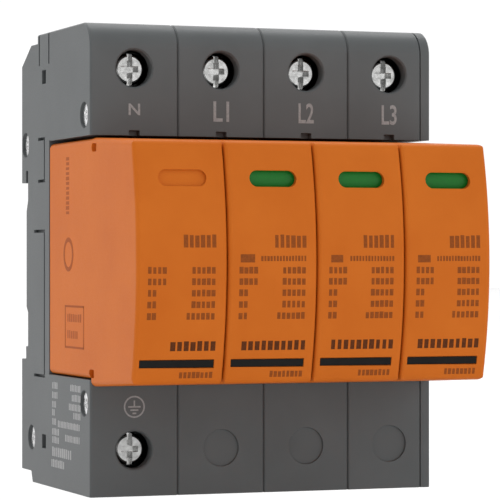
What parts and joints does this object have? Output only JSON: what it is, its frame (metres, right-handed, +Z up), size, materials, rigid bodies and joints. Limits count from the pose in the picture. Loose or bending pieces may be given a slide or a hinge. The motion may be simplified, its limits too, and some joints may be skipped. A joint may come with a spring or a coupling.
{
  "type": "din rail surge arrester",
  "caption": "Rail-mounted surge arrester: dark grey base with screw terminals above and below, and orange bow-fronted plug-in cartridges with status windows.",
  "frame": {"origin": "middle of the rail seat, at mid height and mid width of the base", "axes": "+X along the rail to the right seen from the front, -Y out of the front, +Z up"},
  "size_m": [0.07, 0.076, 0.09],
  "materials": {
    "base_plastic": "fine moulded grain",
    "rivet_metal": "plain",
    "screw_steel": "zinc plated",
    "cage_steel": "zinc plated",
    "contact_copper": "bare copper",
    "foot_plastic": "plain moulded",
    "cartridge_plastic": "fine moulded grain",
    "back_plastic": "plain moulded",
    "blade_metal": "tin plated",
    "varistor_coat": "dipped coat",
    "gap_metal": "plain",
    "strap_metal": "bare bronze",
    "lever_plastic": "green face with a red field above it"
  },
  "bodies": {
    "base": {"base_housing_1": "base_plastic", "base_housing_2": "base_plastic", "base_housing_3": "base_plastic", "base_housing_4": "base_plastic", "base_end_cover": "base_plastic", "base_rivets": "rivet_metal", "line_contact_1": "contact_copper", "line_contact_2": "contact_copper", "line_contact_3": "contact_copper", "line_contact_4": "contact_copper", "earth_contact": "contact_copper", "neutral_bar": "contact_copper"},
    "screw_1": {"terminal_screw_1": "screw_steel"},
    "cage_1": {"terminal_cage_1": "cage_steel"},
    "screw_2": {"terminal_screw_2": "screw_steel"},
    "cage_2": {"terminal_cage_2": "cage_steel"},
    "screw_3": {"terminal_screw_3": "screw_steel"},
    "cage_3": {"terminal_cage_3": "cage_steel"},
    "screw_4": {"terminal_screw_4": "screw_steel"},
    "cage_4": {"terminal_cage_4": "cage_steel"},
    "screw_earth": {"terminal_screw_earth": "screw_steel"},
    "cage_earth": {"terminal_cage_earth": "cage_steel"},
    "foot_left": {"rail_foot_left": "foot_plastic"},
    "foot_right": {"rail_foot_right": "foot_plastic"},
    "cartridge_1": {"cartridge_shell_1": "cartridge_plastic", "cartridge_back_1": "back_plastic", "blade_upper_1": "blade_metal", "blade_lower_1": "blade_metal", "gas_gap": "gap_metal", "gap_strap": "strap_metal"},
    "cartridge_2": {"cartridge_shell_2": "cartridge_plastic", "cartridge_back_2": "back_plastic", "blade_upper_2": "blade_metal", "blade_lower_2": "blade_metal", "varistor_2": "varistor_coat", "trip_strap_2": "strap_metal"},
    "lever_2": {"status_lever_2": "lever_plastic"},
    "cartridge_3": {"cartridge_shell_3": "cartridge_plastic", "cartridge_back_3": "back_plastic", "blade_upper_3": "blade_metal", "blade_lower_3": "blade_metal", "varistor_3": "varistor_coat", "trip_strap_3": "strap_metal"},
    "lever_3": {"status_lever_3": "lever_plastic"},
    "cartridge_4": {"cartridge_shell_4": "cartridge_plastic", "cartridge_back_4": "back_plastic", "blade_upper_4": "blade_metal", "blade_lower_4": "blade_metal", "varistor_4": "varistor_coat", "trip_strap_4": "strap_metal"},
    "lever_4": {"status_lever_4": "lever_plastic"}
  },
  "joints": [
    {"name": "screw_1_turn", "type": "hinge", "parent": "base", "child": "screw_1", "pos_m": [-0.02625, -0.0402, 0.0362], "axis": [0, 1, 0], "range_deg": [0, 2700]},
    {"name": "cage_1_rise", "type": "slide", "parent": "base", "child": "cage_1", "axis": [0, -1, 0], "range_m": [0, 0.006]},
    {"name": "screw_2_turn", "type": "hinge", "parent": "base", "child": "screw_2", "pos_m": [-0.00875, -0.0402, 0.0362], "axis": [0, 1, 0], "range_deg": [0, 2700]},
    {"name": "cage_2_rise", "type": "slide", "parent": "base", "child": "cage_2", "axis": [0, -1, 0], "range_m": [0, 0.006]},
    {"name": "screw_3_turn", "type": "hinge", "parent": "base", "child": "screw_3", "pos_m": [0.00875, -0.0402, 0.0362], "axis": [0, 1, 0], "range_deg": [0, 2700]},
    {"name": "cage_3_rise", "type": "slide", "parent": "base", "child": "cage_3", "axis": [0, -1, 0], "range_m": [0, 0.006]},
    {"name": "screw_4_turn", "type": "hinge", "parent": "base", "child": "screw_4", "pos_m": [0.02625, -0.0402, 0.0362], "axis": [0, 1, 0], "range_deg": [0, 2700]},
    {"name": "cage_4_rise", "type": "slide", "parent": "base", "child": "cage_4", "axis": [0, -1, 0], "range_m": [0, 0.006]},
    {"name": "screw_earth_turn", "type": "hinge", "parent": "base", "child": "screw_earth", "pos_m": [-0.02625, -0.0402, -0.0362], "axis": [0, 1, 0], "range_deg": [0, 2700]},
    {"name": "cage_earth_rise", "type": "slide", "parent": "base", "child": "cage_earth", "axis": [0, -1, 0], "range_m": [0, 0.006]},
    {"name": "foot_left_pull", "type": "slide", "parent": "base", "child": "foot_left", "axis": [0, 0, -1], "range_m": [0, 0.004]},
    {"name": "foot_right_pull", "type": "slide", "parent": "base", "child": "foot_right", "axis": [0, 0, -1], "range_m": [0, 0.004]},
    {"name": "cartridge_1_pull", "type": "slide", "parent": "base", "child": "cartridge_1", "axis": [0, -1, 0], "range_m": [0, 0.04]},
    {"name": "cartridge_2_pull", "type": "slide", "parent": "base", "child": "cartridge_2", "axis": [0, -1, 0], "range_m": [0, 0.04]},
    {"name": "lever_2_trip", "type": "hinge", "parent": "cartridge_2", "child": "lever_2", "pos_m": [-0.00875, -0.0612, 0.0147], "axis": [1, 0, 0], "range_deg": [0, 26]},
    {"name": "cartridge_3_pull", "type": "slide", "parent": "base", "child": "cartridge_3", "axis": [0, -1, 0], "range_m": [0, 0.04]},
    {"name": "lever_3_trip", "type": "hinge", "parent": "cartridge_3", "child": "lever_3", "pos_m": [0.00875, -0.0612, 0.0147], "axis": [1, 0, 0], "range_deg": [0, 26]},
    {"name": "cartridge_4_pull", "type": "slide", "parent": "base", "child": "cartridge_4", "axis": [0, -1, 0], "range_m": [0, 0.04]},
    {"name": "lever_4_trip", "type": "hinge", "parent": "cartridge_4", "child": "lever_4", "pos_m": [0.02625, -0.0612, 0.0147], "axis": [1, 0, 0], "range_deg": [0, 26]}
  ],
  "couplings": [
    {"joint": "screw_1_turn", "follows": "cage_1_rise", "rad_per_m": 7854},
    {"joint": "screw_2_turn", "follows": "cage_2_rise", "rad_per_m": 7854},
    {"joint": "screw_3_turn", "follows": "cage_3_rise", "rad_per_m": 7854},
    {"joint": "screw_4_turn", "follows": "cage_4_rise", "rad_per_m": 7854},
    {"joint": "screw_earth_turn", "follows": "cage_earth_rise", "rad_per_m": 7854}
  ]
}
